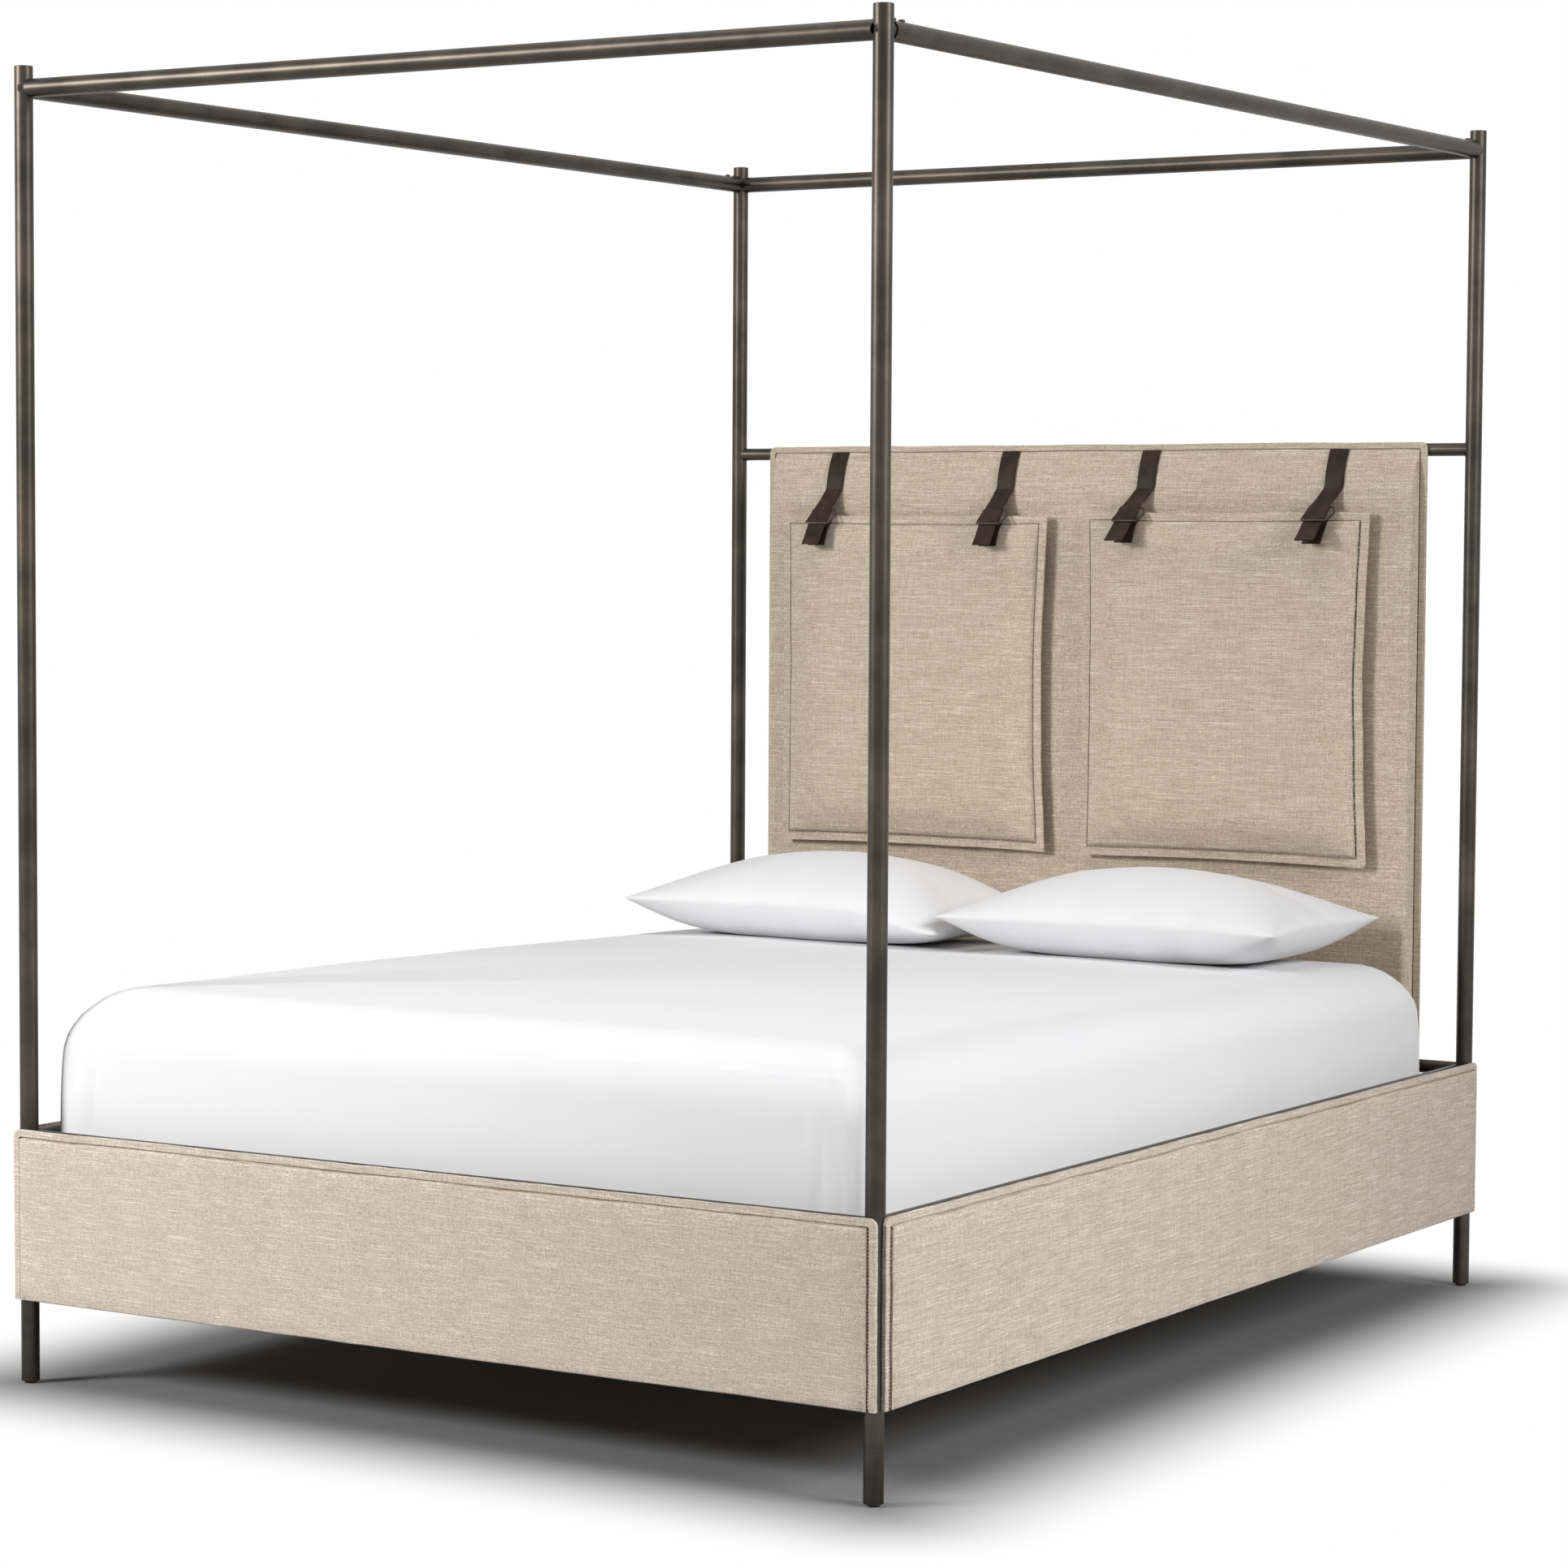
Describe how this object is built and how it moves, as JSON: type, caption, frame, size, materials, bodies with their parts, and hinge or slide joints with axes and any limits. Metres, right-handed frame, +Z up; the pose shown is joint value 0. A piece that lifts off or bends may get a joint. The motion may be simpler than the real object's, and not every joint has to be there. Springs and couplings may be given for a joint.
{
  "type": "four poster canopy bed",
  "caption": "Slim metal four poster bed with an open canopy frame, upholstered side panels, a padded headboard with strapped back cushions, mattress and pillows.",
  "frame": {"origin": "on the floor, under the middle of the whole bed, foot panel included", "axes": "+Z up, +Y from the foot to the head, +X to the right as seen from the foot"},
  "size_m": [1.6528, 2.1994, 2.134],
  "materials": {
    "frame_metal": "satin",
    "screw_steel": "satin",
    "black_plastic": "matte",
    "slat_wood": "matte",
    "panel_board": "matte",
    "linen": "matte",
    "filling": "matte",
    "strap_leather": "satin",
    "bedding_cotton": "matte"
  },
  "bodies": {
    "frame": {"canopy_rail_foot": "frame_metal", "canopy_rail_head": "frame_metal", "canopy_rail_left": "frame_metal", "canopy_rail_right": "frame_metal", "canopy_screws": "screw_steel", "canopy_spigots": "frame_metal", "centre_legs": "frame_metal", "centre_rail": "frame_metal", "centre_rail_hangers": "frame_metal", "glide_inserts": "black_plastic", "headboard_board": "panel_board", "headboard_brackets": "frame_metal", "headboard_cover": "linen", "headboard_crossbar": "frame_metal", "headboard_padding": "filling", "headboard_screws": "screw_steel", "levelling_glides": "black_plastic", "panel_board_foot": "panel_board", "panel_board_left": "panel_board", "panel_board_right": "panel_board", "panel_cover_foot": "linen", "panel_cover_left": "linen", "panel_cover_right": "linen", "panel_screws": "screw_steel", "panel_tabs": "frame_metal", "post_caps": "frame_metal", "post_foot_left": "frame_metal", "post_foot_right": "frame_metal", "post_head_left": "frame_metal", "post_head_right": "frame_metal", "rail_foot": "frame_metal", "rail_head": "frame_metal", "rail_left": "frame_metal", "rail_right": "frame_metal", "rail_screws": "screw_steel", "rail_spigots": "frame_metal", "slat_ledge_left": "frame_metal", "slat_ledge_right": "frame_metal", "slats": "slat_wood", "strap_anchors": "strap_leather"},
    "cushion_left": {"cushion_left": "linen", "cushion_tabs_left": "strap_leather", "strap_1": "strap_leather", "strap_2": "strap_leather", "buckle_ring_1": "frame_metal", "buckle_ring_2": "frame_metal", "strap_keeper_1": "strap_leather", "strap_keeper_2": "strap_leather"},
    "cushion_right": {"cushion_right": "linen", "cushion_tabs_right": "strap_leather", "strap_3": "strap_leather", "strap_4": "strap_leather", "buckle_ring_3": "frame_metal", "buckle_ring_4": "frame_metal", "strap_keeper_3": "strap_leather", "strap_keeper_4": "strap_leather"},
    "mattress": {"mattress": "bedding_cotton"},
    "pillow_left": {"pillow_left": "bedding_cotton"},
    "pillow_right": {"pillow_right": "bedding_cotton"}
  },
  "joints": [
    {"name": "cushion_left_swing", "type": "hinge", "parent": "frame", "child": "cushion_left", "pos_m": [-0.35, 1.0504, 1.5281], "axis": [-1, 0, 0], "range_deg": [0, 60]},
    {"name": "cushion_right_swing", "type": "hinge", "parent": "frame", "child": "cushion_right", "pos_m": [0.326, 1.0504, 1.5281], "axis": [-1, 0, 0], "range_deg": [0, 60]},
    {"name": "mattress_lift", "type": "slide", "parent": "frame", "child": "mattress", "axis": [0, 0, 1], "range_m": [0, 0.12]},
    {"name": "pillow_left_lift", "type": "slide", "parent": "mattress", "child": "pillow_left", "axis": [0, 0, 1], "range_m": [0, 0.1]},
    {"name": "pillow_right_lift", "type": "slide", "parent": "mattress", "child": "pillow_right", "axis": [0, 0, 1], "range_m": [0, 0.1]}
  ]
}
